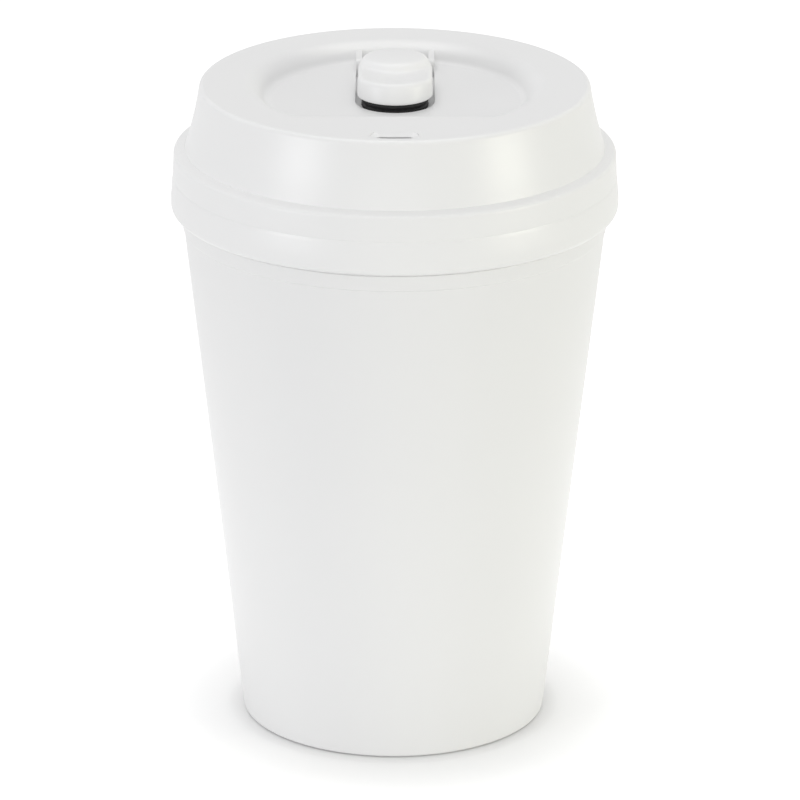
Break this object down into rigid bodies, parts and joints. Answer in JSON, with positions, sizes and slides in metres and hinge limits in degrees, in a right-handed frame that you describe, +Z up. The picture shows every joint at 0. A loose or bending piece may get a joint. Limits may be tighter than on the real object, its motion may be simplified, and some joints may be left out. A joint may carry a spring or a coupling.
{
  "type": "lidded travel cup",
  "caption": "Reusable to-go cup: a tapered white beaker with a press-on domed lid, a sip slot and a hinged flip stopper that closes a port with a black rubber seal.",
  "frame": {"origin": "centre of the foot ring, in the plane the cup stands on", "axes": "+Z up the cup's axis to the lid, -Y to the front where the sip slot is, +Y to the stopper's hinge"},
  "size_m": [0.0929, 0.0928, 0.1417],
  "materials": {
    "white_plastic": "moulded polypropylene, satin gloss",
    "black_rubber": "moulded silicone, satin",
    "steel": "drawn stainless wire"
  },
  "bodies": {
    "cup": {"cup": "white_plastic"},
    "lid": {"lid": "white_plastic", "lid_seal": "black_rubber", "hinge_pin": "steel"},
    "stopper": {"stopper": "white_plastic", "stopper_seal": "black_rubber"}
  },
  "joints": [
    {"name": "lid_lift", "type": "slide", "parent": "cup", "child": "lid", "axis": [0, 0, 1], "range_m": [0, 0.03]},
    {"name": "stopper_flip", "type": "hinge", "parent": "lid", "child": "stopper", "pos_m": [0, 0.0218, 0.13525], "axis": [-1, 0, 0], "range_deg": [0, 120]}
  ]
}
